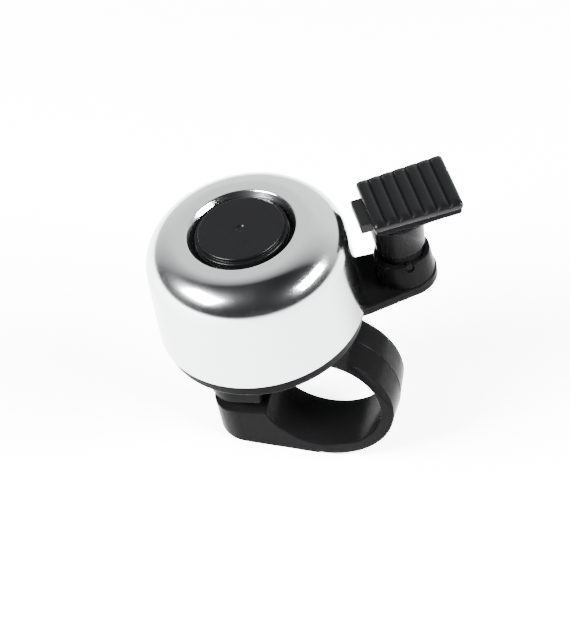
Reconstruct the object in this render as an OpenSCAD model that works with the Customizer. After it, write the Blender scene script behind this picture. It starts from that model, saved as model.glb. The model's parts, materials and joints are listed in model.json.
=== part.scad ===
// Bicycle bell with a flick lever and a split band clamp.
// Origin: centre of the handlebar bore. +Y along the handlebar, +X from the clamp's lug towards the
// far side of the band, +Z up as the bell stands on the flat underside of its clamp. The modules
// are written with the bell's own axis upright, and stand() leans them back onto that flat.

/* [Handlebar clamp] */
// Radius of the handlebar bore
bar_r = 11.1; // [10.5:0.1:13]
// Wall of the band at its edges
band_wall = 2.3; // [2:0.1:3.5]
// Extra wall of the band at its middle, where the mould halves met
band_crown = 0.3; // [0.1:0.1:0.6]
// Width of the band along the handlebar
band_w = 11; // [10:0.5:15]
// Gap between the jaw and the lug
slot_gap = 2.8; // [2.4:0.1:4]
// Distance from the band's inner wall to the clamp screw's axis
screw_offset = 4.8; // [4.4:0.1:8]
// Slope of the lug's flat underside, in degrees
lug_slope = 9.7; // [4:0.1:14]
// Depth of the washer's seat under the lug's top
lug_seat_depth = 4; // [3:0.1:4.5]

/* [Bell] */
// Offset of the bell's axis from the bore's centre
bell_x = 8.5; // [6:0.1:10]
// Height of the saddle between the band and the disc
saddle_h = 2.9; // [1:0.1:6]
// Outer radius of the bell at its rim
bell_r = 18.35; // [16:0.05:23]
// Height of the bell from rim to top
bell_h = 20.2; // [17:0.1:26]
// Wall of the bell
bell_wall = 1.1; // [0.8:0.1:1.6]
// How much narrower the bell is at its shoulder than at its rim
bell_flare = 0.65; // [0:0.05:1.5]
// Radius of the bell's shoulder
shoulder_r = 6.2; // [4:0.1:7]
// Radius of the recess in the bell's top, at its lip
recess_r = 9.55; // [9:0.05:10.5]
// Depth of the recess
recess_depth = 1.6; // [1.4:0.1:2.6]
// Radius of the well in the recess, which holds the screw's head
well_r = 5.4; // [5:0.1:6.5]
// Depth of the well under the recess
well_depth = 2.2; // [2:0.1:3]

/* [Cap] */
// Outer radius of the cap
cap_r = 8.1; // [7.5:0.1:8.2]
// Height of the cap over the bell's top
cap_rise = 0.3; // [0:0.05:1]
// Thickness of the cap's plate
cap_t = 0.7; // [0.6:0.1:1]

/* [Base] */
// Radius of the disc under the bell
disc_r = 17.7; // [15:0.1:22]
// Thickness of the disc and of the arm
disc_t = 1.9; // [1.8:0.1:3]
// Gap between the bell's rim and the disc
rim_gap = 0.5; // [0.3:0.1:1.2]
// Radius of the post that carries the bell
post_r = 4; // [3.5:0.1:5]
// Direction of the lever's arm from the bell's axis, in degrees from +X towards +Y
arm_dir = 26.5; // [10:0.5:60]
// Space between the bell's rim and the lever's axis
arm_reach = 8.05; // [7.9:0.05:14]
// Half width of the arm where it leaves the disc
arm_half_w = 6.6; // [6:0.1:8]
// Radius of the collar at its foot
collar_foot_r = 5.35; // [5.2:0.05:6]
// Wall of the collar at its rim
collar_wall = 0.95; // [0.8:0.05:1.5]
// Height of the lever's axis over the arm
axis_h = 4.4; // [4.2:0.1:6]
// Height of the collar's rim over the lever's axis
collar_rise = 0.5; // [0.3:0.1:1]

/* [Lever] */
// Radius of the lever's ball in the collar
ball_r = 3.8; // [3.6:0.05:4]
// Radius of the neck at its lower end
neck_r = 4.4; // [4.2:0.05:4.8]
// Radius of the neck under the pad
neck_top_r = 4.85; // [4.5:0.05:5.5]
// Length of the pad, away from the bell
pad_len = 15.8; // [13:0.1:20]
// Width of the pad at the end next to the bell
pad_w_in = 12.5; // [10:0.1:15]
// Width of the pad at its free end
pad_w_out = 13.5; // [10:0.1:16]
// Height of the pad's top over the lever's axis
pad_top = 13.5; // [12.5:0.1:18]
// Number of ribs on the pad
rib_n = 7; // [4:1:10]
// Height of the ribs' crowns
rib_h = 0.55; // [0.3:0.05:0.8]
// Thickness of the ribbed pad, ribs included
pad_t = 1.5; // [1.3:0.1:2.2]
// How far the striker stands out towards the bell
striker_out = 1.9; // [1.2:0.1:2.4]
// Width of the striker
striker_w = 6.7; // [5:0.1:8]
// Height of the striker
striker_h = 2.2; // [1.6:0.1:2.4]

/* [Fits] */
// Radial clearance of a pivot or a screw that turns in its seat
pivot_clear = 0.05; // [0.02:0.01:0.1]
// Clearance round the ball in the collar
ball_clear = 0.2; // [0.15:0.05:0.3]
// Clearance of a screw in a plain hole
hole_clear = 0.2; // [0.1:0.05:0.4]

/* [Hidden] */

$fn = 96;
hull_fn = 32;
far = 60;

// Band, split at the web where it flexes
band_r = bar_r + band_wall;
web_x = bar_r + band_wall / 2;
web_r = band_wall * 0.42;
web_gap = 0.12;

// Clamp screw: M4, with its head in the lug and its nut in the jaw
m4_r = 2;
m4_head_r = 3.5;
m4_head_h = 2.1;
m4_socket_r = 1.45;
m4_nut_af = 7;
m4_nut_t = 3.2;
m4_washer_t = 0.6;
m4_washer_r = 4.1;
screw_x = -(bar_r + screw_offset);
end_r = band_w / 2;
jaw_bottom = -0.2;
lug_top = jaw_bottom - slot_gap;
lug_seat_z = lug_top - lug_seat_depth;
tilt_room = 0.45;
washer_z = lug_seat_z - tilt_room - m4_washer_t;
nut_z = 4;
tip_past_nut = 1.3;
tip_z = nut_z + m4_nut_t + tip_past_nut;
tip_room = 2.3;
clamp_screw_len = tip_z - washer_z;

// Disc, post and bell
disc_bottom = band_r + saddle_h;
disc_top = disc_bottom + disc_t;
rim_z = disc_top + rim_gap;
bell_top = rim_z + bell_h;
recess_z = bell_top - recess_depth;
well_z = recess_z - well_depth;
recess_floor_r = cap_r + 0.15;
seat_washer_t = 0.8;
seat_washer_r = post_r + 1;
post_top = well_z - bell_wall - seat_washer_t;
post_flange_t = 1.2;
post_flange_r = post_r + 2;
post_root_r = post_r - 1.4;
post_root_len = disc_t + 1.4;
tap_depth = 8;
dome_washer_t = 0.5;
dome_washer_r = 4.5;
lock_washer_t = 0.9;
lock_washer_r = 3.4;
lock_washer_slit = 0.5;
dome_screw_z = well_z + dome_washer_t + lock_washer_t;
dome_screw_len = 8;

// Cap
cap_top = bell_top + cap_rise;
cap_edge = 0.25;
cap_lip_w = 0.6;
cap_lip_h = 0.6;
cap_skirt_t = 1.1;
cap_ring_r = well_r - 0.1;
cap_ring_t = 0.7;
cap_ring_depth = 1.1;
dimple_r = 0.7;
dimple_depth = 0.2;

// Lever, in its own frame: x away from the bell, y across, z up, origin on its axis
axis_u = bell_r + arm_reach;
axis_z = disc_top + axis_h;
cup_r = ball_r + ball_clear;
collar_r = cup_r + collar_wall;
arm_end_r = collar_foot_r + 0.25;
trunnion_r = 0.8;
trunnion_len = cup_r + collar_wall * 0.75;
snap_w = 2 * trunnion_r - 0.1;
neck_z = ball_r / 2;
neck_fillet = 0.5;
pad_in = -neck_top_r;
pad_out = pad_in + pad_len;
seat_z = pad_top - pad_t;
plate_t = 1.3;
wedge_drop = 2.2;
neck_top_z = seat_z - plate_t - wedge_drop;
pad_corner_r = 0.7;
groove = 0.3;
spring_bore_r = 2.6;
peg_r = 0.8;
peg_len = 1;
peg_x = pad_out - 3.2;
peg_y = pad_w_out / 2 - 3;

// Return spring and the pins that hold its hooks
pin_r = 0.6;
wire_r = 0.22;
coil_r = 1.55;
coil_n = 9;
coil_steps = 12;
wire_sides = 6;
hook_r = pin_r + wire_r + 0.02;
top_pin_z = 8.2;
low_pin_z = disc_bottom + pin_r + 0.1 - axis_z;
coil_low = low_pin_z + 2.4;
coil_high = top_pin_z - 2.4;

// Leans the whole bell so that the lug's underside is level
module stand() { rotate([0, -lug_slope, 0]) children(); }
module at_bell() { translate([-bell_x, 0, 0]) children(); }
module at_lever() { at_bell() rotate(arm_dir) translate([axis_u, 0, axis_z]) children(); }
module across(r, len) { rotate([90, 0, 0]) cylinder(r = r, h = len, center = true); }

// Outline in the x-z plane, given the width w along the handlebar
module side_extrude(w) { rotate([90, 0, 0]) linear_extrude(w, center = true) children(); }

// A solid ring whose section is the band's: a crowned outside and a plain bore
module band_ring() {
    rotate([90, 0, 0]) rotate_extrude() polygon([
        [bar_r, -band_w / 2], [band_r, -band_w / 2], [band_r + band_crown, 0],
        [band_r, band_w / 2], [bar_r, band_w / 2]
    ]);
}

// Everything between two levels
module slab(z_from, z_to) { translate([-far / 2, -far / 2, z_from]) cube([far, far, z_to - z_from]); }

// Plan of the jaw and the lug: straight sides and an end round the clamp screw
module clamp_plan(z_from, z_to) {
    translate([0, 0, z_from]) linear_extrude(z_to - z_from) {
        translate([screw_x, 0]) circle(end_r);
        translate([screw_x, -end_r]) square([far / 2, band_w]);
    }
}

// Disc, and the arm that tapers from it to a round end under the collar
module disc_plan() {
    circle(disc_r);
    rotate(arm_dir) {
        polygon([
            [0, -arm_half_w], [disc_r, -arm_half_w], [axis_u, -arm_end_r],
            [axis_u, arm_end_r], [disc_r, arm_half_w], [0, arm_half_w]
        ]);
        translate([axis_u, 0]) circle(arm_end_r);
    }
}

module saddle() {
    foot_a = 55;
    foot_r = bar_r + band_wall / 2;
    top = disc_bottom + disc_t / 2;
    intersection() {
        clamp_plan(jaw_bottom, top);
        side_extrude(far) polygon([
            [-far, jaw_bottom], [-far, top], [foot_r * cos(foot_a), top],
            [foot_r * cos(foot_a), foot_r * sin(foot_a)], [0, jaw_bottom]
        ]);
    }
}

module collar() {
    translate([0, 0, -axis_h]) cylinder(r1 = collar_foot_r, r2 = collar_r, h = axis_h + collar_rise);
}

module nut_pocket() {
    width = m4_nut_af + 2 * pivot_clear;
    reach = m4_nut_af / sqrt(3) + pivot_clear;
    translate([screw_x - width / 2, -reach, nut_z]) cube([width, far, m4_nut_t + pivot_clear]);
}

module base() {
    color("#1b1c1d") stand() difference() {
        union() {
            at_bell() translate([0, 0, disc_bottom]) linear_extrude(disc_t) disc_plan();
            at_lever() collar();
            saddle();
            intersection() {
                band_ring();
                slab(web_gap, band_r + far);
            }
        }
        rotate([90, 0, 0]) cylinder(r = bar_r, h = far, center = true);
        translate([web_x, 0, 0]) across(web_r + pivot_clear, far);
        translate([screw_x, 0, jaw_bottom - 1])
            cylinder(r = m4_r + hole_clear, h = tip_z + tip_room - jaw_bottom + 1);
        nut_pocket();
        at_bell() translate([0, 0, disc_top - post_root_len]) cylinder(r = post_root_r, h = far);
        at_lever() {
            translate([0, 0, 0.2 - axis_h]) cylinder(r = cup_r, h = far);
            cylinder(r = spring_bore_r, h = far, center = true);
            across(trunnion_r + pivot_clear, far / 4);
            translate([-snap_w / 2, -far / 8, 0]) cube([snap_w, far / 4, far]);
            translate([-pin_r - 0.05, -collar_r, low_pin_z - far]) cube([2 * pin_r + 0.1, 2 * collar_r, far]);
            translate([0, 0, low_pin_z]) across(pin_r, 2 * collar_r);
        }
    }
}

module clamp_strap() {
    tangent_a = -90 - lug_slope;
    crown_r = band_r + band_crown;
    tangent = [crown_r * cos(tangent_a), crown_r * sin(tangent_a)];
    lug_end = screw_x - end_r;
    lug_low = tangent[1] + (tangent[0] - lug_end) * tan(lug_slope);
    color("#1b1c1d") stand() difference() {
        union() {
            intersection() {
                band_ring();
                union() {
                    slab(-far, lug_top);
                    translate([0, -far / 2, -far]) cube([far, far, far - web_gap]);
                }
            }
            translate([web_x, 0, 0]) across(web_r, band_w);
            intersection() {
                clamp_plan(-far, lug_top);
                side_extrude(band_w) polygon([
                    [lug_end, lug_top], [0, lug_top], tangent, [lug_end, lug_low]
                ]);
            }
        }
        rotate([90, 0, 0]) cylinder(r = bar_r, h = far, center = true);
        translate([screw_x, 0, -far / 2]) cylinder(r = m4_r + hole_clear + tilt_room, h = far);
        translate([screw_x, 0, lug_seat_z - far])
            cylinder(r = m4_washer_r + hole_clear + tilt_room, h = far);
    }
}

// Screw with a pan head under the origin and its shank above it
module pan_screw(len) {
    cylinder(r = m4_r, h = len);
    difference() {
        rotate_extrude() intersection() {
            translate([0, 1.4]) circle(m4_head_r);
            translate([0, -m4_head_h]) square([m4_head_r - 0.1, m4_head_h]);
        }
        for (a = [0, 90]) rotate(a)
            translate([-m4_socket_r, -0.45, -m4_head_h - 1]) cube([2 * m4_socket_r, 0.9, 2.2]);
    }
}

module clamp_screw() { color("#b9bcc0") stand() translate([screw_x, 0, washer_z]) pan_screw(clamp_screw_len); }

module flat_washer(r, t, hole) {
    difference() {
        cylinder(r = r, h = t);
        cylinder(r = hole, h = 4 * t, center = true);
    }
}

module clamp_washer() {
    color("#c4c6c9") stand() translate([screw_x, 0, washer_z])
        flat_washer(m4_washer_r, m4_washer_t, m4_r + pivot_clear);
}

module clamp_nut() {
    color("#b0b2b5") stand() translate([screw_x, 0, nut_z]) difference() {
        rotate(30) cylinder(r = m4_nut_af / sqrt(3), h = m4_nut_t, $fn = 6);
        cylinder(r = m4_r + pivot_clear, h = far, center = true);
    }
}

module centre_post() {
    color("#a8abae") stand() at_bell() difference() {
        union() {
            translate([0, 0, disc_top - post_root_len]) cylinder(r = post_root_r, h = post_root_len + 1);
            translate([0, 0, disc_top]) cylinder(r = post_flange_r, h = post_flange_t);
            translate([0, 0, disc_top]) cylinder(r = post_r, h = post_top - disc_top);
        }
        translate([0, 0, post_top - tap_depth]) cylinder(r = m4_r, h = far);
    }
}

module seat_washer() {
    color("#7c2f1f") stand() at_bell() translate([0, 0, post_top])
        flat_washer(seat_washer_r, seat_washer_t, m4_r + hole_clear);
}

// Outline of a bell without its recess, inset all round
module bell_outline(inset, rim) {
    top_r = bell_r - bell_flare - inset;
    bend = shoulder_r - inset;
    top = bell_top - inset;
    polygon([
        [0, rim], [bell_r - inset, rim], [top_r, top - bend], [top_r - bend, top - bend],
        [top_r - bend, top], [0, top]
    ]);
    translate([top_r - bend, top - bend]) intersection() {
        circle(bend);
        square(bend);
    }
}

// The recess and the well in the bell's top, grown all round by wall
module bell_recess(wall) {
    polygon([
        [0, bell_top + 1], [recess_r + wall, bell_top + 1], [recess_r + wall, bell_top],
        [recess_floor_r + wall, recess_z - wall], [well_r + wall, recess_z - wall],
        [well_r + wall, well_z - wall], [0, well_z - wall]
    ]);
}

module bell_dome() {
    color("#c9cdd0") stand() at_bell() difference() {
        rotate_extrude() difference() {
            bell_outline(0, rim_z);
            bell_recess(0);
            difference() {
                bell_outline(bell_wall, rim_z - 1);
                bell_recess(bell_wall);
            }
        }
        cylinder(r = m4_r + hole_clear, h = far);
    }
}

module dome_washer() {
    color("#c4c6c9") stand() at_bell() translate([0, 0, well_z])
        flat_washer(dome_washer_r, dome_washer_t, m4_r + hole_clear);
}

module lock_washer() {
    color("#8f9194") stand() at_bell() translate([0, 0, well_z + dome_washer_t]) difference() {
        flat_washer(lock_washer_r, lock_washer_t, m4_r + hole_clear);
        translate([0, -lock_washer_slit / 2, -1]) cube([far, lock_washer_slit, far]);
    }
}

module dome_screw() {
    color("#b9bcc0") stand() at_bell() translate([0, 0, dome_screw_z]) mirror([0, 0, 1]) pan_screw(dome_screw_len);
}

module dome_cap() {
    top_r = cap_r - cap_lip_w;
    color("#141516") stand() at_bell() difference() {
        union() {
            translate([0, 0, recess_z]) cylinder(r = cap_r, h = cap_top - cap_lip_h - recess_z);
            translate([0, 0, recess_z]) cylinder(r = top_r, h = cap_top - cap_edge - recess_z);
            translate([0, 0, cap_top - cap_edge]) cylinder(r1 = top_r, r2 = top_r - cap_edge, h = cap_edge);
            translate([0, 0, recess_z - cap_ring_depth]) cylinder(r = cap_ring_r, h = cap_ring_depth + 1);
        }
        translate([0, 0, recess_z - 1]) difference() {
            cylinder(r = cap_r - cap_skirt_t, h = cap_top - cap_t - recess_z + 1);
            cylinder(r = cap_ring_r, h = far, center = true);
        }
        translate([0, 0, recess_z - far]) cylinder(r = cap_ring_r - cap_ring_t, h = far + cap_top - cap_t - recess_z);
        translate([0, 0, cap_top - dimple_depth]) cylinder(r1 = dimple_r / 2, r2 = dimple_r, h = dimple_depth + 0.01);
    }
}

// Plan of the pad: a little wider at its free end, inset all round by cut
module pad_plan(cut) {
    c = pad_corner_r;
    w0 = pad_w_in / 2 - cut - c;
    w1 = pad_w_out / 2 - cut - c;
    x0 = pad_in + cut + c;
    x1 = pad_out - cut - c;
    hull() for (p = [[x0, -w0], [x1, -w1], [x1, w1], [x0, w0]]) translate(p) circle(c, $fn = hull_fn);
}

module striker_block(clear) {
    tail = pad_in + 1.6 + clear;
    translate([pad_in - striker_out, -striker_w / 2 - clear, seat_z - striker_h - clear])
        cube([tail - pad_in + striker_out, striker_w + 2 * clear, striker_h + clear]);
}

module lever_body() {
    color("#1d1e1f") stand() at_lever() difference() {
        union() {
            sphere(r = ball_r);
            across(trunnion_r, 2 * trunnion_len);
            translate([0, 0, neck_z]) cylinder(r1 = neck_r - neck_fillet, r2 = neck_r, h = neck_fillet);
            translate([0, 0, neck_z + neck_fillet])
                cylinder(r1 = neck_r, r2 = neck_top_r, h = neck_top_z - neck_z - neck_fillet);
            hull() {
                translate([0, 0, neck_top_z - 0.01]) cylinder(r = neck_top_r, h = 0.01, $fn = 64);
                translate([0, 0, seat_z - plate_t]) linear_extrude(plate_t) pad_plan(groove);
            }
        }
        translate([0, 0, -ball_r - 1]) cylinder(r = spring_bore_r, h = far);
        translate([0, 0, top_pin_z]) across(pin_r, 2 * 4.2);
        translate([0, 2, top_pin_z]) rotate([-90, 0, 0]) cylinder(r = pin_r, h = far);
        striker_block(0);
        for (s = [-1, 1]) translate([peg_x, s * peg_y, seat_z - peg_len - 0.1]) cylinder(r = peg_r, h = far);
    }
}

// Ribbed pad: crowned ribs across it, rounded down at their ends
module lever_pad() {
    pitch = pad_len / rib_n;
    crown = (pitch * pitch / 4 + rib_h * rib_h) / (2 * rib_h);
    end_drop = 0.7;
    edge = 1.1;
    color("#161718") stand() at_lever() {
        intersection() {
            translate([0, 0, seat_z]) linear_extrude(pad_t) pad_plan(0);
            side_extrude(far) {
                translate([pad_in, seat_z]) square([pad_len, pad_t - rib_h]);
                intersection() {
                    for (i = [0 : rib_n - 1])
                        translate([pad_in + (i + 0.5) * pitch, pad_top - crown]) circle(crown);
                    translate([pad_in, seat_z]) square([pad_len, pad_t]);
                }
            }
            rotate([90, 0, 90]) linear_extrude(far, center = true) polygon([
                [-pad_w_out / 2, seat_z], [pad_w_out / 2, seat_z],
                [pad_w_out / 2, pad_top - end_drop], [pad_w_out / 2 - edge, pad_top],
                [edge - pad_w_out / 2, pad_top], [-pad_w_out / 2, pad_top - end_drop]
            ]);
        }
        for (s = [-1, 1]) translate([peg_x, s * peg_y, seat_z - peg_len]) cylinder(r = peg_r, h = peg_len + 0.3);
    }
}

module striker() { color("#101112") stand() at_lever() striker_block(0); }

// Points of the spring's wire: a hook under the low pin, the coils, and a hook over the top pin
function hook(z, turn) = [
    for (a = [0 : 30 : 180]) [hook_r * cos(a + turn), 0, z + hook_r * sin(a + turn)]
];
function coil() = [
    for (i = [0 : coil_n * coil_steps]) let (a = i * 360 / coil_steps)
        [coil_r * cos(a), coil_r * sin(a), coil_low + (coil_high - coil_low) * i / (coil_n * coil_steps)]
];
function unit(v) = v / norm(v);
function tangent_at(p, i) = unit(p[min(i + 1, len(p) - 1)] - p[max(i - 1, 0)]);

module wire(path) {
    last = len(path) - 1;
    points = [
        for (i = [0 : last])
            let (t = tangent_at(path, i), side = unit(cross(t, [0.05, 1, 0.1])), up = cross(side, t))
            for (k = [0 : wire_sides - 1]) let (a = 360 * k / wire_sides)
                path[i] + wire_r * (cos(a) * side + sin(a) * up)
    ];
    function ring(i, k) = i * wire_sides + (k % wire_sides);
    polyhedron(points, concat(
        [for (i = [0 : last - 1]) for (k = [0 : wire_sides - 1])
            [ring(i + 1, k), ring(i + 1, k + 1), ring(i, k + 1), ring(i, k)]],
        [[for (k = [0 : wire_sides - 1]) ring(0, k)]],
        [[for (k = [wire_sides - 1 : -1 : 0]) ring(last, k)]]
    ));
}

module return_spring() {
    color("#9a9da0") stand() at_lever() wire(concat(hook(low_pin_z, 180), coil(), hook(top_pin_z, 0)));
}

module lever_spring_pin() {
    color("#a8abae") stand() at_lever() translate([0, 0, top_pin_z]) across(pin_r, 2 * 4.2);
}

module base_spring_pin() {
    color("#a8abae") stand() at_lever() translate([0, 0, low_pin_z]) across(pin_r, 2 * collar_r - 0.4);
}

base();
clamp_strap();
clamp_screw();
clamp_washer();
clamp_nut();
centre_post();
seat_washer();
bell_dome();
dome_washer();
lock_washer();
dome_screw();
dome_cap();
lever_body();
lever_pad();
striker();
return_spring();
lever_spring_pin();
base_spring_pin();
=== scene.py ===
import json
import math

import bmesh
import bpy
import numpy as np
from mathutils import Matrix, Vector


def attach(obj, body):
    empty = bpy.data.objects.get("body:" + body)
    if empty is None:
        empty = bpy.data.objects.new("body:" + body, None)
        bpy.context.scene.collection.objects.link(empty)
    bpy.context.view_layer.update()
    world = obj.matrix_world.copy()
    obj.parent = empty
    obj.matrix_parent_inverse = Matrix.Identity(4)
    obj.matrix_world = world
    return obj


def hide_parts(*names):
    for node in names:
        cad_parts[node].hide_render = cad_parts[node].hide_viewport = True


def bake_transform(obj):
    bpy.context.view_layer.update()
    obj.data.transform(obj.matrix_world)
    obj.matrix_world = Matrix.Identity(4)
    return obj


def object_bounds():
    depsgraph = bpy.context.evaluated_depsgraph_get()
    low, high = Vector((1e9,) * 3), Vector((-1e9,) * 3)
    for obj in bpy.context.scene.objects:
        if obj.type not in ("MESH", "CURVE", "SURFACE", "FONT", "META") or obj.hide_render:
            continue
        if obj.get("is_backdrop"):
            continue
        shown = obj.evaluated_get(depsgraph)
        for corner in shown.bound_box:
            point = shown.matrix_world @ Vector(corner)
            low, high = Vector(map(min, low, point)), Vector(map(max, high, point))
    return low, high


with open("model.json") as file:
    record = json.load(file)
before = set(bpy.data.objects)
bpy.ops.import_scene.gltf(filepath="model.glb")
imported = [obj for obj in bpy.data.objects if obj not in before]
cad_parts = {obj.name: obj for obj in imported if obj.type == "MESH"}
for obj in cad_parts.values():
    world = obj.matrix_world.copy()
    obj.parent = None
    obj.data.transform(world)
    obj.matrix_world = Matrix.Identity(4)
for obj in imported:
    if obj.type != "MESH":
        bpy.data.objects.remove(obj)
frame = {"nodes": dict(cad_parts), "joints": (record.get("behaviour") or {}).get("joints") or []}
cadLow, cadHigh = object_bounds()
nodes = frame["nodes"]
joints = {j["name"]: j for j in frame["joints"]}
mm = 0.001
fullTurn = 2 * math.pi

# The bell's own axis leans; the clamp screw slides along the same direction.
bellUp = Vector(joints["screw_travel"]["axis"]).normalized()
alongBar = Vector((0, 1, 0))


# Matrix of a place with its own y and z directions; x is their cross product.
def placeMatrix(origin, y, z):
    x = y.cross(z).normalized()
    m = Matrix((x, y, z)).transposed().to_4x4()
    m.translation = origin
    return m


leverPivot = Vector(joints["lever_flick"]["pos_m"])
leverAxis = Vector(joints["lever_flick"]["axis"]).normalized()
upright = placeMatrix(Vector((0, 0, 0)), alongBar, bellUp)
leverPlace = placeMatrix(leverPivot, leverAxis, bellUp)


# The corners of a CAD node's mesh, one row each.
def cadPoints(name):
    mesh = nodes[name].data
    co = np.zeros(len(mesh.vertices) * 3)
    mesh.vertices.foreach_get("co", co)
    return co.reshape(-1, 3)


# Points seen from a place: the inverse of its matrix, applied to each row.
def inFrame(points, place):
    m = np.array(place.inverted())
    return points @ m[:3, :3].T + m[:3, 3]


dome = inFrame(cadPoints("bell_dome"), upright)
bellX = (dome[:, 0].min() + dome[:, 0].max()) / 2
bellPlace = upright @ Matrix.Translation((bellX, 0, 0))
print("frame loaded, bell axis at", round(bellX / mm, 3), "mm")


# Signed volume: a sixth of the sum of the triple products of each face's triangles.
def volumeOf(points, faces):
    total = 0.0
    for size in {len(f) for f in faces}:
        corners = points[np.array([f for f in faces if len(f) == size])]
        for k in range(1, size - 1):
            total += float(np.sum(corners[:, 0] * np.cross(corners[:, k], corners[:, k + 1])))
    return total / 6


# A mesh object from points in mm at a place. The faces are turned outwards first.
def makeMesh(name, pointsMm, faces, place):
    points = np.asarray(pointsMm, float)
    if volumeOf(points - points.mean(0), faces) < 0:
        faces = [tuple(reversed(f)) for f in faces]
    m = np.array(place)
    world = (points * mm) @ m[:3, :3].T + m[:3, 3]
    mesh = bpy.data.meshes.new(name)
    mesh.from_pydata(world.tolist(), [], faces)
    mesh.update()
    mesh.polygons.foreach_set("use_smooth", [True] * len(mesh.polygons))
    obj = bpy.data.objects.new(name, mesh)
    bpy.context.scene.collection.objects.link(obj)
    return obj


profile = {"guard": 0.05, "arcStep": 0.25}


# Corners are rows of x, z and a rounding radius. A rounded corner becomes an arc tangent to its two
# sides, with a guard point just past each end of the arc so that the flats beside it stay flat.
def roundPath(corners, closed, steps=5):
    out = []
    guard = profile["guard"]
    count = len(corners)
    for i, (x, z, radius) in enumerate(corners):
        here = np.array((x, z), float)
        if radius == 0 or (not closed and i in (0, count - 1)):
            out.append(here)
            continue
        before = np.array(corners[i - 1][:2], float) - here
        after = np.array(corners[(i + 1) % count][:2], float) - here
        lengths = np.linalg.norm(before), np.linalg.norm(after)
        before, after = before / lengths[0], after / lengths[1]
        half = math.acos(float(np.clip(before @ after, -1, 1))) / 2
        reach = radius / math.tan(half)
        middle = (before + after) / np.linalg.norm(before + after)
        centre = here + middle * radius / math.sin(half)
        a, b = here + before * reach, here + after * reach
        u, v = (a - centre) / radius, (b - centre) / radius
        turn = math.acos(float(np.clip(u @ v, -1, 1)))
        arcSteps = max(steps, int(radius * turn / profile["arcStep"]))
        t = np.linspace(0, 1, arcSteps + 1)[:, None]
        if lengths[0] > reach + 3 * guard:
            out.append(a + before * guard)
        out += list(centre + radius * (np.sin((1 - t) * turn) * u + np.sin(t * turn) * v) / math.sin(turn))
        if lengths[1] > reach + 3 * guard:
            out.append(b + after * guard)
    return np.array(out)


# Rings of equal length joined in order by four-sided faces. closed joins the last ring to the
# first; otherwise each end is shut with a fan to the middle of its ring.
def joinRings(rings, closed):
    count, n = len(rings), len(rings[0])
    points = np.vstack(rings)
    k = np.arange(n)
    k2 = (k + 1) % n
    a = np.arange(count if closed else count - 1)[:, None] * n
    b = (a + n) % (count * n)
    faces = np.stack([a + k, a + k2, b + k2, b + k], -1).reshape(-1, 4).tolist()
    if not closed:
        points = np.vstack([points, rings[0].mean(0), rings[-1].mean(0)])
        low, high, last = count * n, count * n + 1, (count - 1) * n
        fans = np.stack([k2, k, np.full(n, low), last + k, last + k2, np.full(n, high)], 1)
        faces += fans.reshape(-1, 3).tolist()
    return points, faces


# Each point of a path of radius and height, carried round the vertical axis.
def revolve(path, segments):
    path = np.asarray(path, float)
    a = np.arange(segments) * fullTurn / segments
    r, z = path[:, :1], path[:, 1:]
    return np.stack([r * np.cos(a), r * np.sin(a), z + 0 * a], -1)


# Several closed surfaces as one mesh, all wound the same way round as the first.
def gather(parts):
    points, faces, count, first = [], [], 0, 0.0
    for own, ownFaces in parts:
        size = volumeOf(own - own.mean(0), ownFaces)
        first = first or size
        if size * first < 0:
            ownFaces = [tuple(reversed(f)) for f in ownFaces]
        faces += [[i + count for i in f] for f in ownFaces]
        points.append(own)
        count += len(own)
    return np.vstack(points), faces


# A plain shader of one colour, for the functions below to add noise and bump to.
def newMaterial(name, color, metallic, roughness):
    mat = bpy.data.materials.new(name)
    mat.use_nodes = True
    tree = mat.node_tree
    shader = tree.nodes["Principled BSDF"]
    shader.inputs["Base Color"].default_value = (*color, 1)
    shader.inputs["Metallic"].default_value = metallic
    shader.inputs["Roughness"].default_value = roughness
    return mat, tree, shader


# Noise on the piece's own coordinates, drawn out along an axis where stretch is below one.
def noiseOf(tree, scale, detail, stretch=(1, 1, 1)):
    coord = tree.nodes.new("ShaderNodeTexCoord")
    mapping = tree.nodes.new("ShaderNodeMapping")
    mapping.inputs["Scale"].default_value = stretch
    noise = tree.nodes.new("ShaderNodeTexNoise")
    noise.inputs["Scale"].default_value = scale
    noise.inputs["Detail"].default_value = detail
    tree.links.new(coord.outputs["Object"], mapping.inputs["Vector"])
    tree.links.new(mapping.outputs["Vector"], noise.inputs["Vector"])
    return noise.outputs["Fac"]


# A value taken from its own range, fromLow to fromHigh, to the range low to high.
def ranged(tree, value, low, high, fromLow=0.0, fromHigh=1.0):
    node = tree.nodes.new("ShaderNodeMapRange")
    for name, v in (("From Min", fromLow), ("From Max", fromHigh), ("To Min", low), ("To Max", high)):
        node.inputs[name].default_value = v
    tree.links.new(value, node.inputs["Value"])
    return node.outputs["Result"]


# Bump from a value: its slope, times distance in metres and strength, tips the normal.
def bumpFrom(tree, shader, value, strength, distance):
    bump = tree.nodes.new("ShaderNodeBump")
    bump.inputs["Strength"].default_value = strength
    bump.inputs["Distance"].default_value = distance
    tree.links.new(value, bump.inputs["Height"])
    tree.links.new(bump.outputs["Normal"], shader.inputs["Normal"])


# Roughness that wanders between two values with a noise.
def patchyRoughness(tree, shader, low, high, noise, fromLow=0.3, fromHigh=0.7):
    tree.links.new(ranged(tree, noise, low, high, fromLow, fromHigh), shader.inputs["Roughness"])


plasticGrain = {"patches": 160, "patchDetail": 4, "grains": 5200, "grainDetail": 2, "depth": 0.00002}
metalGrain = {
    "patches": 900, "patchDetail": 5, "grains": 2400, "grainDetail": 3, "depth": 0.00002, "strength": 0.12,
}


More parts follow.
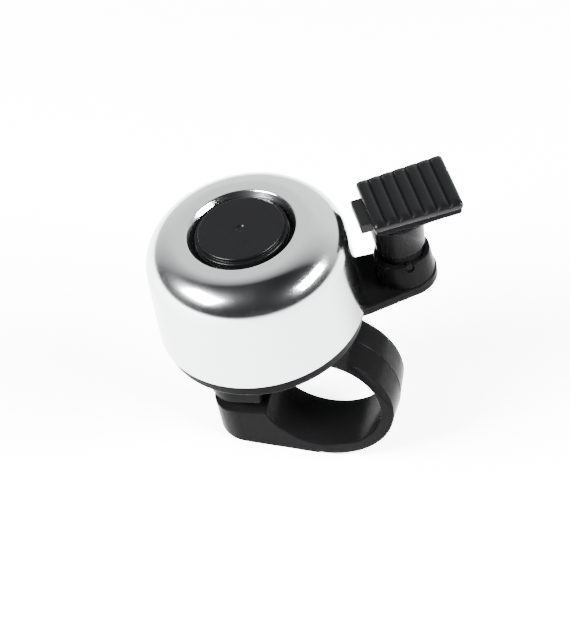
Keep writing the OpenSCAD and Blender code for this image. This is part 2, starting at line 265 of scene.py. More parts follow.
# Moulded plastic: broad patches of roughness and a fine grain. shine is the specular level.
def plastic(name, color, roughness, spread, grain, shine=0.22):
    g = plasticGrain
    mat, tree, shader = newMaterial(name, color, 0, roughness)
    shader.inputs["Specular IOR Level"].default_value = shine
    patches = noiseOf(tree, g["patches"], g["patchDetail"])
    patchyRoughness(tree, shader, roughness - spread, roughness + spread, patches)
    bumpFrom(tree, shader, noiseOf(tree, g["grains"], g["grainDetail"]), grain, g["depth"])
    return mat


# Plain metal: finer patches of roughness and a slight grain.
def metal(name, color, roughness, spread):
    g = metalGrain
    mat, tree, shader = newMaterial(name, color, 1, roughness)
    patches = noiseOf(tree, g["patches"], g["patchDetail"])
    patchyRoughness(tree, shader, roughness - spread, roughness + spread, patches)
    bumpFrom(tree, shader, noiseOf(tree, g["grains"], g["grainDetail"]), g["strength"], g["depth"])
    return mat


blackMoulding = plastic("blackMoulding", (0.0014, 0.0014, 0.0015), 0.24, 0.05, 0.10, 0.0056)
blackPad = plastic("blackPad", (0.0009, 0.0009, 0.0010), 0.30, 0.05, 0.22, 0.046)
blackCap = plastic("blackCap", (0.0009, 0.0009, 0.0010), 0.27, 0.04, 0.06, 0.048)
blackSteel = plastic("blackSteel", (0.0018, 0.0018, 0.0018), 0.45, 0.06, 0.30, 0.04)
redFibre = plastic("redFibre", (0.30, 0.07, 0.035), 0.75, 0.08, 0.5)
zincSteel = metal("zincSteel", (0.60, 0.61, 0.63), 0.30, 0.07)
springSteel = metal("springSteel", (0.42, 0.42, 0.43), 0.34, 0.06)

# Polished aluminium: clear reflections with a faint haze and a very fine grain round the bell.
polish = {
    "color": (0.36, 0.372, 0.372), "roughness": 0.14, "clear": 0.105, "haze": 0.175, "from": 0.35,
    "patches": 70, "patchDetail": 5, "grains": 2600, "grainDetail": 4, "stretch": (1, 1, 0.15),
    "strength": 0.035, "depth": 0.00001,
}
bellMetal, tree, shader = newMaterial("bellMetal", polish["color"], 1, polish["roughness"])
patches = noiseOf(tree, polish["patches"], polish["patchDetail"])
patchyRoughness(tree, shader, polish["clear"], polish["haze"], patches, polish["from"])
grains = noiseOf(tree, polish["grains"], polish["grainDetail"], polish["stretch"])
bumpFrom(tree, shader, grains, polish["strength"], polish["depth"])
print("materials made")

# Radii and heights in mm. The heights are above the bar's centre, along the bell's own axis.
bell = {
    "rimR": 18.35, "rimZ": 18.7, "topR": 17.41, "topInR": 16.363, "topZ": 38.9, "shoulder": 6.2, "wall": 1.1,
    "lipR": 9.55, "floorR": 8.25, "floorZ": 37.3, "wellR": 5.4, "wellZ": 35.1, "holeR": 2.2,
    "edge": 0.3, "lipEdge": 0.32, "floorEdge": 0.35, "wellEdge": 0.4, "holeEdge": 0.1, "underEdge": 0.5,
    "segments": 320,
}
underTop, underFloor, underWell = (bell[k] - bell["wall"] for k in ("topZ", "floorZ", "wellZ"))
bellCorners = [
    (bell["rimR"], bell["rimZ"], bell["edge"]),
    (bell["topR"], bell["topZ"], bell["shoulder"]),
    (bell["lipR"], bell["topZ"], bell["lipEdge"]),
    (bell["floorR"], bell["floorZ"], bell["floorEdge"]),
    (bell["wellR"], bell["floorZ"], bell["edge"]),
    (bell["wellR"], bell["wellZ"], bell["wellEdge"]),
    (bell["holeR"], bell["wellZ"], bell["holeEdge"]),
    (bell["holeR"], underWell, bell["holeEdge"]),
    (bell["wellR"] + bell["wall"], underWell, bell["underEdge"]),
    (bell["wellR"] + bell["wall"], underFloor, bell["edge"]),
    (bell["floorR"] + bell["wall"], underFloor, bell["edge"]),
    (bell["lipR"] + bell["wall"], underTop, bell["edge"]),
    (bell["topInR"], underTop, bell["shoulder"] - bell["wall"]),
    (bell["rimR"] - bell["wall"], bell["rimZ"], bell["edge"]),
]
points, faces = joinRings(revolve(roundPath(bellCorners, True), bell["segments"]), True)
bellShell = makeMesh("bellShell", points, faces, bellPlace)
bellShell.data.materials.append(bellMetal)
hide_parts("bell_dome")
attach(bellShell, "base")
print("bell made")

cap = {
    "r": 8.1, "topR": 7.5, "topZ": 39.2, "lipH": 0.6, "seatZ": 37.3, "innerR": 7.0, "plate": 0.7,
    "ringR": 5.3, "ringIn": 4.6, "ringZ": 36.2, "dimpleR": 0.55, "dimple": 0.2, "dimpleSlope": 0.3,
    "dimpleEdge": 0.15, "dimpleLip": 0.12, "topEdge": 0.22, "stepEdge": 0.06, "skirtEdge": 0.18,
    "underEdge": 0.1, "ringEdge": 0.12, "segments": 192,
}
dimpleZ, stepZ, plateZ = (cap["topZ"] - cap[k] for k in ("dimple", "lipH", "plate"))
capCorners = [
    (0, dimpleZ, 0),
    (cap["dimpleR"], dimpleZ, cap["dimpleEdge"]),
    (cap["dimpleR"] + cap["dimpleSlope"], cap["topZ"], cap["dimpleLip"]),
    (cap["topR"], cap["topZ"], cap["topEdge"]),
    (cap["topR"], stepZ, cap["stepEdge"]),
    (cap["r"], stepZ, cap["skirtEdge"]),
    (cap["r"], cap["seatZ"], cap["underEdge"]),
    (cap["innerR"], cap["seatZ"], cap["underEdge"]),
    (cap["innerR"], plateZ, cap["underEdge"]),
    (cap["ringR"], plateZ, cap["underEdge"]),
    (cap["ringR"], cap["ringZ"], cap["ringEdge"]),
    (cap["ringIn"], cap["ringZ"], cap["ringEdge"]),
    (cap["ringIn"], plateZ, cap["underEdge"]),
    (0, plateZ, 0),
]
capPath = roundPath(capCorners, False)[1:-1]  # the fans of joinRings close both poles
points, faces = joinRings(revolve(capPath, cap["segments"]), False)
capShell = makeMesh("capShell", points, faces, bellPlace)
capShell.data.materials.append(blackCap)
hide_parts("dome_cap")
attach(capShell, "base")
print("cap made")

# x runs outwards from the lever's pivot, y across the lever. skirt holds, for each ring under the
# top, its share of the pad's thickness and how far it is drawn in.
pad = {
    "inX": -4.85, "length": 15.8, "wIn": 12.5, "wOut": 13.5, "corner": 0.7, "topZ": 13.5, "thick": 1.5,
    "ribs": 7, "ribH": 0.62, "ribBend": 0.96, "ribPower": 2.2, "perRib": 24,
    "endDrop": 0.75, "endReach": 1.5, "endSpeed": 1.6, "endPower": 0.7, "edge": 0.22, "edgeShare": 0.6,
    "sideSteps": 97, "sideEase": 1.9, "endSteps": (0.02, 0.05, 0.1, 0.16, 0.24),
    "skirt": ((1.0, 0.0), (0.12, 0.0), (0.03, 0.03), (0.0, 0.1)), "skirtDrop": 0.05,
}
padOutX = pad["inX"] + pad["length"]


# Height lost by a quarter round where x goes from 0, its flat end, to 1.
def roundedDrop(x):
    return 1 - np.sqrt(np.maximum(1 - x * x, 0))


# Half width of the pad at x: it widens evenly outwards, less a quarter round at each corner.
def padHalf(x, inset=0.0):
    share = (x - pad["inX"]) / pad["length"]
    full = (pad["wIn"] + (pad["wOut"] - pad["wIn"]) * share) / 2 - inset
    r = pad["corner"]
    inside = np.clip(r - np.minimum(x - pad["inX"] - inset, padOutX - inset - x), 0, r)
    return full - (r - np.sqrt(np.maximum(r * r - inside * inside, 0)))


# Height of the pad's top. Each rib is a flat-crowned arch, so that the crease between two ribs is
# sharp, and it falls away in a quarter round at both sides.
def padTop(x, y, half):
    t = (x - pad["inX"]) / pad["length"] * pad["ribs"]
    across = 2 * (t - np.floor(np.clip(t, 0, pad["ribs"] - 1e-6))) - 1
    bend, power = pad["ribBend"], pad["ribPower"]
    arch = 1 - np.sqrt(np.maximum(1 - (np.abs(across) * bend) ** power, 0))
    rib = pad["ribH"] * arch / (1 - math.sqrt(1 - bend ** power))
    gap = half - np.abs(y)
    fall = pad["endDrop"] * roundedDrop(np.clip(1 - gap / pad["endReach"], 0, 1))
    rib = rib * np.clip(gap / pad["endReach"] * pad["endSpeed"], 0, 1) ** pad["endPower"]
    edgeGap = np.minimum(gap, np.minimum(x - pad["inX"], padOutX - x))
    edge = pad["edge"] * roundedDrop(np.clip(1 - edgeGap / pad["edge"], 0, 1)) * pad["edgeShare"]
    return pad["topZ"] - rib - fall - edge


# Values from low to high that crowd towards both ends by the given power.
def easedGrid(low, high, count, power):
    t = np.linspace(-1, 1, count)
    t = np.sign(t) * (1 - (1 - np.abs(t)) ** power)
    return low + (high - low) * (t + 1) / 2


# Faces that join two rings of point numbers.
def between(first, second):
    return np.stack([np.roll(first, -1), first, second, np.roll(second, -1)], 1).tolist()


padXs = np.linspace(pad["inX"], padOutX, pad["ribs"] * pad["perRib"] + 1)
ends = np.array(pad["endSteps"])
padXs = np.unique(np.round(np.concatenate([padXs, pad["inX"] + ends, padOutX - ends]), 5))
halves = padHalf(padXs)[:, None]
gridX, share = np.meshgrid(padXs, easedGrid(-1, 1, pad["sideSteps"], pad["sideEase"]), indexing="ij")
gridY = share * halves
top = np.stack([gridX, gridY, padTop(gridX, gridY, halves)], -1).reshape(-1, 3)
cells = np.arange(len(top)).reshape(gridX.shape)
loop = np.concatenate([cells[:, 0], cells[-1, 1:], cells[-2::-1, -1], cells[0, -2:0:-1]])
faces = np.stack([cells[:-1, :-1], cells[1:, :-1], cells[1:, 1:], cells[:-1, 1:]], -1).reshape(-1, 4).tolist()
centre = np.array([(pad["inX"] + padOutX) / 2, 0.0])
bottomZ = pad["topZ"] - pad["thick"]
points, previous, count = [top], loop, len(top)
for level, inset in pad["skirt"]:
    ring = top[loop].copy()
    ring[:, 2] = ring[:, 2] - pad["skirtDrop"] if level == 1 else bottomZ + (ring[:, 2] - bottomZ) * level
    away = ring[:, :2] - centre
    ring[:, :2] = centre + away * (1 - inset / np.linalg.norm(away, axis=1, keepdims=True))
    now = count + np.arange(len(loop))
    faces += between(previous, now)
    points.append(ring)
    previous, count = now, count + len(ring)
points.append(np.array([[*centre, bottomZ]]))
faces += np.stack([np.roll(previous, -1), previous, np.full(len(loop), count)], 1).tolist()
leverPad = makeMesh("leverPad", np.vstack(points), faces, leverPlace)
leverPad.data.materials.append(blackPad)
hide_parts("lever_pad")
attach(leverPad, "lever")
print("pad made")

# The lever's body: a bore for the spring, a ball, a neck, and a wedge that opens into the plate
# under the pad. Heights are above the pivot. wedge holds shares of the way from the neck to the
# plate, and rim holds how far each ring of the plate is drawn in and how far up it stands.
body = {
    "boreR": 2.6, "boreZ": 10.9, "boreRings": 10, "ballR": 3.8, "ballRings": 26, "neckZ": 1.9, "neckR": 4.4,
    "neckRise": 0.5, "neckStep": 0.25, "stepEdge": 0.18, "neckEdge": 0.3, "topR": 4.85, "neckTop": 8.5,
    "wedge": (0.06, 0.2, 0.4, 0.6, 0.8, 0.94), "plateLow": 10.7, "inset": 0.3, "ring": 256,
    "rim": ((0.0, 0.0), (0.0, 0.06), (0.0, 1.16), (0.04, 1.26), (0.14, 1.3)), "mouth": 0.1, "ballEnd": 0.15,
    "pinR": 0.8, "pinStart": 3.0, "pinEnd": 4.7, "pinEdge": 0.15, "pinTip": 0.05, "pinSegments": 48,
    "outlineSteps": 600, "outlineEase": 2.2, "endSteps": 198,
}


# Outline of the pad's plate: where rays from its middle, at even angles, meet the plate's edge.
def plateRing(inset, z):
    x0, x1 = pad["inX"] + inset, padOutX - inset
    fine = easedGrid(x0, x1, body["outlineSteps"], body["outlineEase"])
    h = padHalf(fine, inset)
    across = np.linspace(-1, 1, body["endSteps"] + 2)[1:-1]
    outline = np.vstack([
        np.stack([fine, h], 1), np.stack([fine[::-1], -h[::-1]], 1),
        np.stack([x0 + 0 * across, across * h[0]], 1), np.stack([x1 + 0 * across, across * h[-1]], 1),
    ])
    a = np.arctan2(outline[:, 1], outline[:, 0] - (x0 + x1) / 2)
    order = np.argsort(a)
    a, outline = a[order], outline[order]
    rays = np.arange(body["ring"]) * fullTurn / body["ring"]
    wanted = (rays + math.pi) % fullTurn - math.pi
    x = np.interp(wanted, a, outline[:, 0], period=fullTurn)
    y = np.interp(wanted, a, outline[:, 1], period=fullTurn)
    return np.stack([x, y, z + 0 * x], 1)


boreLow = -math.sqrt(body["ballR"] ** 2 - body["boreR"] ** 2)
startR = math.sqrt(body["ballR"] ** 2 - body["neckZ"] ** 2)
boreZs = np.linspace(body["boreZ"] - body["mouth"], boreLow, body["boreRings"])
borePath = [(body["boreR"], z) for z in boreZs]
ballZs = np.linspace(boreLow, body["neckZ"] - body["ballEnd"], body["ballRings"])[1:]
ballPath = [(math.sqrt(body["ballR"] ** 2 - z * z), z) for z in ballZs]
neckPath = roundPath([
    (startR, body["neckZ"], 0),
    (body["neckR"] - body["neckStep"], body["neckZ"], body["stepEdge"]),
    (body["neckR"], body["neckZ"] + body["neckRise"], body["neckEdge"]),
    (body["topR"], body["neckTop"], 0),
], False)
bodyPath = np.vstack([[(body["boreR"], body["boreZ"])], borePath, ballPath, neckPath])
rings = list(revolve(bodyPath, body["ring"]))
neckRing, plate = rings[-1], plateRing(body["inset"], body["plateLow"])
rings += [neckRing * (1 - t) + plate * t for t in body["wedge"]]
rings += [plateRing(body["inset"] + drawn, body["plateLow"] + rise) for drawn, rise in body["rim"]]
parts = [joinRings(rings, False)]
pinPath = roundPath([
    (body["pinR"], body["pinStart"], 0),
    (body["pinR"], body["pinEnd"], body["pinEdge"]),
    (body["pinTip"], body["pinEnd"], 0),
], False)
for side in (-1, 1):
    pin, pinFaces = joinRings(revolve(pinPath, body["pinSegments"]), False)
    parts.append((np.stack([pin[:, 0], side * pin[:, 2], pin[:, 1]], 1), pinFaces))
leverBody = makeMesh("leverBody", *gather(parts), leverPlace)
leverBody.data.materials.append(blackMoulding)
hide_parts("lever_body")
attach(leverBody, "lever")
print("lever made")

# How the CAD's meshes are merged and rounded: distances in metres, angles in degrees.
softening = {
    "merge": 2e-6, "mouldMerge": 5e-5, "seamMerge": 1.5e-4, "flat": 0.4, "least": 28, "weight": 80,
    "moulding": 0.22, "striker": 0.28, "strikerSegments": 4, "metalSegments": 2,
}


# Joins faces that lie in one plane, and turns them all outwards.
def dissolveFlats(bm):
    flat = math.radians(softening["flat"])
    bmesh.ops.dissolve_limit(bm, angle_limit=flat, verts=bm.verts, edges=bm.edges)
    bmesh.ops.recalc_face_normals(bm, faces=bm.faces)


# A CAD node's mesh as a new object, with its loose triangles merged and its flats made whole.
def cleanCopy(name, node, reshape=None):
    mesh = nodes[node].data.copy()
    mesh.name = name
    obj = bpy.data.objects.new(name, mesh)
    bpy.context.scene.collection.objects.link(obj)
    mesh.materials.clear()
    bm = bmesh.new()
    bm.from_mesh(mesh)
    bmesh.ops.remove_doubles(bm, verts=bm.verts, dist=softening["merge"])
    if reshape:
        reshape(bm)
        bmesh.ops.remove_doubles(bm, verts=bm.verts, dist=softening["mouldMerge"])
    dissolveFlats(bm)
    bm.to_mesh(mesh)
    bm.free()
    return obj


# Marks the convex edges to round, apart from those that skip() names, and rounds them by width mm.
def soften(obj, width, segments=3, skip=None, crease=None):
    bm = bmesh.new()
    bm.from_mesh(obj.data)
    layer = bm.edges.layers.float.new("bevel_weight_edge")
    for e in bm.edges:
        ends = [v.co for v in e.verts]
        sharp = math.degrees(e.calc_face_angle(0)) > softening["least"]
        skipped = not e.is_convex or bool(skip and skip(*ends))
        e[layer] = 1.0 if sharp and not skipped else 0.0
        e.smooth = not (crease and crease(*ends)) and not (skipped and sharp)
    for f in bm.faces:
        f.smooth = True
    bm.to_mesh(obj.data)
    bm.free()
    bevel = obj.modifiers.new("soften", "BEVEL")
    bevel.limit_method = "WEIGHT"
    bevel.width = width * mm
    bevel.segments = segments
    bevel.use_clamp_overlap = False
    bevel.miter_outer = "MITER_ARC"
    weighted = obj.modifiers.new("flats", "WEIGHTED_NORMAL")
    weighted.keep_sharp = True
    weighted.weight = softening["weight"]


# Puts what the modifiers make into the mesh itself.
def baked(obj):
    bpy.context.view_layer.update()
    mesh = bpy.data.meshes.new_from_object(obj.evaluated_get(bpy.context.evaluated_depsgraph_get()))
    obj.modifiers.clear()
    obj.data = mesh
    return obj


toUpright = np.array(upright.inverted())[:3, :3] / mm
toRow = np.array(upright)[:3, :3] * mm
toLever = np.array(leverPlace.inverted())

# The split of the band, at x from the bar's centre: a gap on each side of a round web. Where a
# point is tested, it may be off by the reach given beside it.
seam = {
    "x": 12.25, "beyond": 10, "gap": 0.12, "gapReach": 0.01, "webR": 0.99, "webFrom": 0.93, "webTo": 1.04,
    "onGap": 0.02, "onWeb": 0.03, "sideFace": 0.9,
}
notch = {"x": 1.3, "y": 2.5, "z": 1.2}  # the collar's notches for the lever's pins
foot = {"x": 7.03, "reach": 0.06, "low": 9, "high": 17}  # where the saddle meets the band
ridge = {"r": 13.7, "y": 0.02, "reach": 0.05}  # middle of the band's outer face


# A point of the row's frame, in mm along the bell's own axes.
def uprightOf(co):
    return toUpright @ np.array(co)


# True for an edge whose two ends both lie on the seam.
def onSeam(a, b):
    for v in (a, b):
        q = uprightOf(v)
        d = math.hypot(q[0] - seam["x"], q[2])
        near = abs(q[2]) < seam["onGap"] or abs(d - seam["webR"]) < seam["onWeb"]
        if q[0] < seam["beyond"] or not near:
            return False
    return True


# The band is one moulding: close the hair's gap where it is split to flex.
def closeSeam(bm):
    for v in bm.verts:
        q = uprightOf(v.co)
        if q[0] < seam["beyond"]:
            continue
        if abs(abs(q[2]) - seam["gap"]) < seam["gapReach"]:
            q[2] = 0.0
        d = math.hypot(q[0] - seam["x"], q[2])
        if seam["webFrom"] < d < seam["webTo"]:
            q[0] = seam["x"] + (q[0] - seam["x"]) * seam["webR"] / d
            q[2] = q[2] * seam["webR"] / d
        v.co = Vector(toRow @ q)
    bm.faces.ensure_lookup_table()
    hidden = [
        f for f in bm.faces
        if abs(f.normal.y) < seam["sideFace"] and all(onSeam(v.co, v.co) for v in f.verts)
    ]
    bmesh.ops.delete(bm, geom=hidden, context="FACES")


# Edges too close together to round: the seam, the notches for the lever's pins, and the saddle's
# foot on the band.
def leaveSharp(a, b):
    if onSeam(a, b):
        return True
    for v in (a, b):
        q = toLever @ np.array((*v, 1.0)) / mm
        u = uprightOf(v)
        inNotch = abs(q[0]) < notch["x"] and abs(q[1]) > notch["y"] and abs(q[2]) < notch["z"]
        atFoot = abs(u[0] - foot["x"]) < foot["reach"] and foot["low"] < u[2] < foot["high"]
        if inNotch or atFoot:
            return True
    return False


# True for an edge along the ridge in the middle of the band's outer face, which stays a crease.
def onRidge(a, b):
    for v in (a, b):
        q = uprightOf(v)
        if abs(q[1]) > ridge["y"] or abs(math.hypot(q[0], q[2]) - ridge["r"]) > ridge["reach"]:
            return False
    return True


# Upper and lower halves of the band are sewn along the seam into one skin, which bends there.
def sewn(name, first, second):
    bm = bmesh.new()
    bm.from_mesh(first.data)
    bm.from_mesh(second.data)
    edge = [v for v in bm.verts if onSeam(v.co, v.co)]
    bmesh.ops.remove_doubles(bm, verts=edge, dist=softening["seamMerge"])
    bmesh.ops.holes_fill(bm, edges=[e for e in bm.edges if e.is_boundary], sides=0)
    dissolveFlats(bm)
    print(name, "open edges:", sum(1 for e in bm.edges if not e.is_manifold))
    mesh = bpy.data.meshes.new(name)
    bm.to_mesh(mesh)
    bm.free()
    obj = bpy.data.objects.new(name, mesh)
    bpy.context.scene.collection.objects.link(obj)
    for old in (first, second):
        bpy.data.objects.remove(old)
    return obj


upper, lower = cleanCopy("upper", "base", closeSeam), cleanCopy("lower", "clamp_strap", closeSeam)
moulding = sewn("moulding", upper, lower)
soften(moulding, softening["moulding"], skip=leaveSharp, crease=onRidge)
moulding.data.materials.append(blackMoulding)
baked(moulding)
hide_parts("base", "clamp_strap")
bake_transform(moulding)

# Parting line of the band: a low bead along the middle of its outer face. section holds how far
# each corner stands out, as a share of the height, and how far it lies across.
bead = {
    "r": 13.68, "half": 0.16, "high": 0.07, "from": -99.5, "to": 62, "fade": 0.12, "steps": 200,
    "section": ((-0.05, -1), (0.35, -0.5), (1, -0.2), (1, 0.2), (0.35, 0.5), (-0.05, 1)),
}
out, across = np.array(bead["section"]).T
angle = np.linspace(math.radians(bead["from"]), math.radians(bead["to"]), bead["steps"])[:, None]
high = bead["high"] * np.minimum(1.0, np.minimum(angle[-1] - angle, angle - angle[0]) / bead["fade"])
r = bead["r"] + out * high
rings = np.stack([r * np.cos(angle), across * bead["half"] + 0 * r, r * np.sin(angle)], -1)
points, faces = joinRings(rings, False)
partingBead = makeMesh("partingBead", points, faces, upright)
partingBead.data.materials.append(blackMoulding)
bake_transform(partingBead)
print("mouldings made")

striker = cleanCopy("strikerBlock", "striker")
soften(striker, softening["striker"], softening["strikerSegments"])
striker.data.materials.append(blackSteel)
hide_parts("striker")
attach(striker, "lever")

# For each small part its material, the body it rides on, its slot and the rounding of its edges.
metalParts = {
    "clamp_washer": (zincSteel, "washer", "steel", 0.08),
    "clamp_nut": (zincSteel, "base", "steel", 0.12),
    "centre_post": (zincSteel, "base", "steel", 0.12),
    "dome_washer": (zincSteel, "base", "steel", 0.06),
    "lock_washer": (springSteel, "base", "spring_steel", 0.06),
    "dome_screw": (zincSteel, "base", "steel", 0.1),
    "seat_washer": (redFibre, "base", "fibre", 0.08),
    "lever_spring_pin": (zincSteel, "lever", "steel", 0.08),
    "base_spring_pin": (zincSteel, "base", "steel", 0.08),
}
for node, (material, rides, slotName, width) in metalParts.items():
    words = node.split("_")
    obj = cleanCopy(words[0] + "".join(w.capitalize() for w in words[1:]) + "Soft", node)
    soften(obj, width, softening["metalSegments"])
    obj.data.materials.append(material)
    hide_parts(node)
    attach(obj, rides)
print("small parts made")

# Clamp screw with a real thread. Its ends come from the CAD node.
screwBox = inFrame(cadPoints("clamp_screw"), upright) / mm
screw = {
    "x": (screwBox[:, 0].min() + screwBox[:, 0].max()) / 2,
    "low": screwBox[:, 2].min(), "high": screwBox[:, 2].max(),
    "tip": 0.02, "faceR": 2.2, "faceEdge": 0.2, "headH": 2.1, "headR": 3.4, "crownH": 1.0, "crownEdge": 0.7,
    "seatEdge": 0.1, "seatR": 1.7, "headSegments": 96, "arcSteps": 6, "sunk": 0.3,
    "shankR": 2.0, "rootR": 1.62, "pitch": 0.7, "perPitch": 16, "turn": 48, "plain": 1.0, "runOut": 0.6,
    "point": 0.5, "pointShare": 0.35, "pointR": 0.2, "smooth": 38,
}
cross = {"reach": (1.45, 0.7), "width": (0.9, 0.5), "z": (-0.6, 1.25)}  # at its mouth and at its foot
seat = screw["low"] + screw["headH"]
headPath = roundPath([
    (screw["tip"], screw["low"], 0),
    (screw["faceR"], screw["low"], screw["faceEdge"]),
    (screw["headR"], screw["low"] + screw["crownH"], screw["crownEdge"]),
    (screw["headR"], seat, screw["seatEdge"]),
    (screw["seatR"], seat, 0),
], False, screw["arcSteps"])
screwPlace = upright @ Matrix.Translation((screw["x"] * mm, 0, 0))
# Thread: the radius at height z and angle a falls by a triangle wave of z / pitch - a / turn.
rows = int((screw["high"] - seat) / screw["pitch"] * screw["perPitch"])
a = np.arange(screw["turn"]) * fullTurn / screw["turn"]
z = np.linspace(seat - screw["sunk"], screw["high"], rows)[:, None]
wave = np.abs(((z / screw["pitch"] - a / fullTurn) % 1) * 2 - 1)
taper = 1 - screw["pointShare"] * (1 - np.clip((screw["high"] - z) / screw["point"], 0, 1))
depth = (screw["shankR"] - screw["rootR"]) * np.clip((z - seat - screw["plain"]) / screw["runOut"], 0, 1)
r = np.minimum(screw["shankR"] - depth * wave, screw["shankR"] * (1 - screw["pointR"] * (1 - taper)))
thread = joinRings(np.stack([r * np.cos(a), r * np.sin(a), z + 0 * r], -1), False)
head = joinRings(revolve(headPath, screw["headSegments"]), False)
screwObj = makeMesh("clampScrewThreaded", *gather([head, thread]), screwPlace)
screwObj.data.materials.append(zincSteel)
# The head's cross is cut by two tapered blocks at right angles.
for turn in (0, math.pi / 2):
    cut = bpy.data.meshes.new("cut")
    bm = bmesh.new()
    bmesh.ops.create_cube(bm, size=1)
    for v in bm.verts:
        end = 1 if v.co.z > 0 else 0
        x, y = v.co.x * 2 * cross["reach"][end], v.co.y * cross["width"][end]
        v.co = Matrix.Rotation(turn, 3, "Z") @ Vector((x, y, screw["low"] + cross["z"][end])) * mm
    bm.transform(screwPlace)
    bm.to_mesh(cut)
    bm.free()
    cutter = bpy.data.objects.new("cut", cut)
    bpy.context.scene.collection.objects.link(cutter)
    slotCut = screwObj.modifiers.new("cross", "BOOLEAN")
    slotCut.operation = "DIFFERENCE"
    slotCut.object = cutter
    slotCut.solver = "EXACT"
    slotCut.use_self = True
    baked(screwObj)
    bpy.data.objects.remove(cutter)
screwObj.data.set_sharp_from_angle(angle=math.radians(screw["smooth"]))
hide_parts("clamp_screw")
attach(screwObj, "screw")
print("screw made, head at", round(seat, 2))

# The return spring hangs between two pins: a half-round hook, the coils and a second hook.
spring = {
    "pinR": 0.6, "wireR": 0.22, "clear": 0.02, "coilR": 1.55, "turns": 9, "perTurn": 40, "sides": 12,
    "lowPin": -5.6, "highPin": 8.2, "reach": 2.4, "hookSteps": 20, "hold": 1.0,
}
hookR = spring["pinR"] + spring["wireR"] + spring["clear"]
hookA = np.linspace(0, math.pi, spring["hookSteps"])
lowHook = np.stack([-hookR * np.cos(hookA), 0 * hookA, spring["lowPin"] - hookR * np.sin(hookA)], 1)
highHook = np.stack([hookR * np.cos(hookA), 0 * hookA, spring["highPin"] + hookR * np.sin(hookA)], 1)
t = np.linspace(0, 1, spring["turns"] * spring["perTurn"] + 1)
turn = t * spring["turns"] * fullTurn
coilLow, coilHigh = spring["lowPin"] + spring["reach"], spring["highPin"] - spring["reach"]
coil = np.stack([
    spring["coilR"] * np.cos(turn), spring["coilR"] * np.sin(turn), coilLow + (coilHigh - coilLow) * t,
], 1)
path = np.vstack([lowHook, coil, highHook])
tangent = np.gradient(path, axis=0)
tangent /= np.linalg.norm(tangent, axis=1, keepdims=True)
side = np.cross(tangent, np.array([0.05, 1, 0.1]))  # any direction that the wire never runs along
side /= np.linalg.norm(side, axis=1, keepdims=True)
up = np.cross(side, tangent)
around = (np.arange(spring["sides"]) * fullTurn / spring["sides"])[:, None]
rings = path[:, None] + spring["wireR"] * (np.cos(around) * side[:, None] + np.sin(around) * up[:, None])
points, faces = joinRings(rings, False)
springWire = makeMesh("springWire", points, faces, leverPlace)
springWire.data.materials.append(springSteel)
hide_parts("return_spring")
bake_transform(springWire)
print("spring made")

# White paper that glows a little, so that it stays white round the object.
paper = {"half": 4.0, "color": (0.86, 0.86, 0.86), "roughness": 0.6, "shine": 0.2, "glow": 1.0}
h, floorZ = paper["half"], cadLow.z
floorMesh = bpy.data.meshes.new("floor")
corners = [(-h, -h, floorZ), (h, -h, floorZ), (h, h, floorZ), (-h, h, floorZ)]
floorMesh.from_pydata(corners, [], [(0, 1, 2, 3)])
floor = bpy.data.objects.new("floor", floorMesh)
bpy.context.scene.collection.objects.link(floor)
floorMat, tree, shader = newMaterial("floorPaper", paper["color"], 0, paper["roughness"])
shader.inputs["Specular IOR Level"].default_value = paper["shine"]
shader.inputs["Emission Color"].default_value = (1, 1, 1, 1)
shader.inputs["Emission Strength"].default_value = paper["glow"]
floorMesh.materials.append(floorMat)
floor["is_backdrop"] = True

# Each light's direction is an azimuth, 0 towards -Y and 90 towards +X, and an elevation, in
# degrees. Distance, width and height are in metres, power in watts.
lights = {
    "leftBox": {"azimuth": -58, "elevation": 38, "distance": 0.6, "width": 0.30, "height": 0.20, "power": 62},
    "rightBox": {"azimuth": 84, "elevation": 36, "distance": 0.6, "width": 0.32, "height": 0.18, "power": 53},
}
middle = (cadLow + cadHigh) / 2
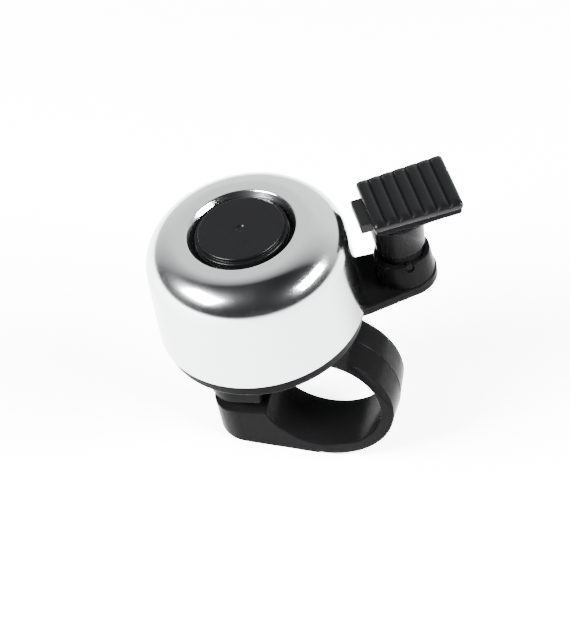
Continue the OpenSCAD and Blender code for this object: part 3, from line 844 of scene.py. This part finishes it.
for name, box in lights.items():
    light = bpy.data.lights.new(name, "AREA")
    light.shape = "RECTANGLE"
    light.size, light.size_y = box["width"], box["height"]
    light.energy = box["power"]
    az, el = math.radians(box["azimuth"]), math.radians(box["elevation"])
    away = Vector((math.sin(az) * math.cos(el), -math.cos(az) * math.cos(el), math.sin(el)))
    lamp = bpy.data.objects.new(name, light)
    lamp.location = middle + away * box["distance"]
    lamp.rotation_mode = "QUATERNION"
    lamp.rotation_quaternion = away.to_track_quat("Z", "Y")
    bpy.context.scene.collection.objects.link(lamp)

# The room is dark in front of the object and bright behind it.
sky = {"dark": (0.05, 0.052, 0.055, 1), "bright": (3.4, 3.46, 3.46, 1), "from": 0.2, "to": 0.8}
world = bpy.data.worlds.new("studio")
bpy.context.scene.world = world
world.use_nodes = True
tree = world.node_tree
background = tree.nodes["Background"]
coord = tree.nodes.new("ShaderNodeTexCoord")
split = tree.nodes.new("ShaderNodeSeparateXYZ")
ramp = tree.nodes.new("ShaderNodeValToRGB")
ramp.color_ramp.elements[0].color = sky["dark"]
ramp.color_ramp.elements[1].color = sky["bright"]
tree.links.new(coord.outputs["Generated"], split.inputs["Vector"])
rear = ranged(tree, split.outputs["Y"], 0.0, 1.0, sky["from"], sky["to"])
tree.links.new(rear, ramp.inputs["Fac"])
tree.links.new(ramp.outputs["Color"], background.inputs["Color"])
background.inputs["Strength"].default_value = 1.0

# The eye point in metres, the camera's right and backward directions, and its lens in mm.
camera = {
    "eye": (0.05084, -0.27358, 0.33190), "right": (0.9794, 0.2019, -0.0057), "back": (0.1382, -0.6492, 0.7480),
    "lens": 137.2, "sensor": 36, "near": 0.01, "far": 20,
}
camData = bpy.data.cameras.new("camera")
camData.lens = camera["lens"]
camData.sensor_width = camera["sensor"]
camData.clip_start, camData.clip_end = camera["near"], camera["far"]
camObj = bpy.data.objects.new("camera", camData)
back = Vector(camera["back"]).normalized()
right = Vector(camera["right"])
right = (right - back * right.dot(back)).normalized()
matrix = Matrix((right, back.cross(right), back)).transposed().to_4x4()
matrix.translation = Vector(camera["eye"])
camObj.matrix_world = matrix
bpy.context.scene.collection.objects.link(camObj)
bpy.context.scene.camera = camObj
print("stage made")

bpy.context.view_layer.update()
low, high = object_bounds()
